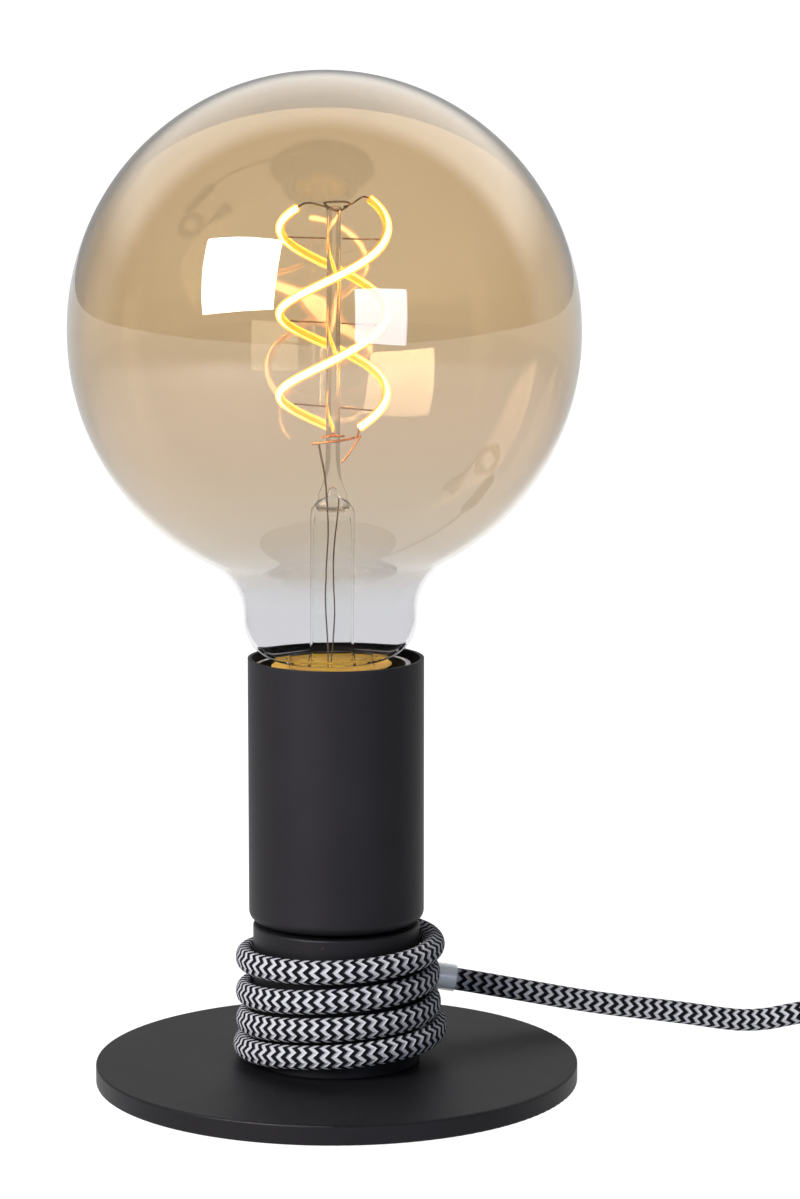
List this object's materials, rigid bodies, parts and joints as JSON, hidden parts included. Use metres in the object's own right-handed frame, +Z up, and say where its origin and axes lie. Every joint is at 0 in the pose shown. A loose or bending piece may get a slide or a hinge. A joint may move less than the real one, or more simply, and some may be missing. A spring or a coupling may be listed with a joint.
{
  "type": "bedside lamp",
  "caption": "Bedside lamp: flat black disc base, drum wound with zigzag textile cord, black tube holder and a large amber globe bulb with spiral filaments",
  "frame": {"origin": "on the table, under the middle of the round base", "axes": "+Z up, -Y towards the viewer of the picture, +X to the side where the cord leaves"},
  "size_m": [0.336, 0.125, 0.2501],
  "materials": {
    "black_coat": "matt powder coat with a fine grain",
    "black_satin": "satin lacquer",
    "felt": "pressed felt",
    "zinc_steel": "zinc plated",
    "brass": "drawn brass",
    "gold_cap": "bright gold-coloured plating",
    "black_plastic": "moulded, fine texture",
    "white_ceramic": "glazed porcelain look",
    "black_glass": "vitrified insulator",
    "wire_brown": "wire insulation",
    "wire_blue": "wire insulation",
    "amber_glass": "amber tinted, clear at the neck",
    "clear_glass": "clear lamp glass",
    "circuit_board": "white solder mask",
    "thin_wire": "drawn nickel wire",
    "filament": "translucent phosphor coat, glowing",
    "textile_braid": "black and white zigzag braid",
    "clear_plastic": "clear flexible sleeve",
    "switch_plastic": "moulded black plastic",
    "tie_plastic": "flat strap",
    "black_rubber": "soft moulding",
    "nickel": "nickel plated"
  },
  "bodies": {
    "lamp": {"base_disc": "black_coat", "base_pad": "felt", "base_screws": "zinc_steel", "drum_foot": "zinc_steel", "cord_drum": "black_coat", "cord_bush": "black_plastic", "cord_anchor": "black_plastic", "threaded_nipple": "zinc_steel", "nipple_nut": "zinc_steel", "lock_washer": "zinc_steel", "spacer_ring": "black_plastic", "seat_washer": "zinc_steel", "lamp_tube": "black_satin", "holder_cap": "black_plastic", "holder_skirt": "black_plastic", "holder_core": "white_ceramic", "holder_terminals": "brass", "terminal_screws": "zinc_steel", "screw_shell": "brass", "centre_contact": "brass", "live_wire": "wire_brown", "neutral_wire": "wire_blue", "cord_winding": "textile_braid", "cord_lead": "textile_braid", "cord_coil": "textile_braid", "clear_sleeve": "clear_plastic", "switch_base": "switch_plastic", "switch_cover": "switch_plastic", "switch_screws": "zinc_steel", "switch_terminals": "brass", "switch_contact": "brass", "coil_tie": "tie_plastic", "plug_relief": "black_rubber", "plug_body": "switch_plastic", "plug_pins": "nickel"},
    "bulb_lift": {"cap_contact": "zinc_steel"},
    "bulb": {"bulb_globe": "amber_glass", "bulb_stem": "clear_glass", "bulb_cap": "gold_cap", "cap_insulator": "black_glass", "led_driver": "circuit_board", "driver_capacitor": "black_plastic", "lead_wires": "thin_wire", "filament_left": "filament", "filament_right": "filament", "filament_top_hub": "thin_wire", "filament_bottom_hub": "thin_wire", "support_wires": "thin_wire"},
    "rocker": {"switch_rocker": "switch_plastic"}
  },
  "joints": [
    {"name": "bulb_rise", "type": "slide", "parent": "lamp", "child": "bulb_lift", "axis": [-0.0175, 0, 0.9998], "range_m": [0, 0.01452]},
    {"name": "bulb_turn", "type": "hinge", "parent": "bulb_lift", "child": "bulb", "pos_m": [0, 0, 0.04384], "axis": [-0.0175, 0, 0.9998], "range_deg": [0, 1440]},
    {"name": "rocker_tip", "type": "hinge", "parent": "lamp", "child": "rocker", "pos_m": [0.166, 0.047, 0.0133], "axis": [0, -1, 0], "range_deg": [0, 16]}
  ],
  "couplings": [
    {"joint": "bulb_rise", "follows": "bulb_turn", "m_per_rad": 0.00057757}
  ]
}
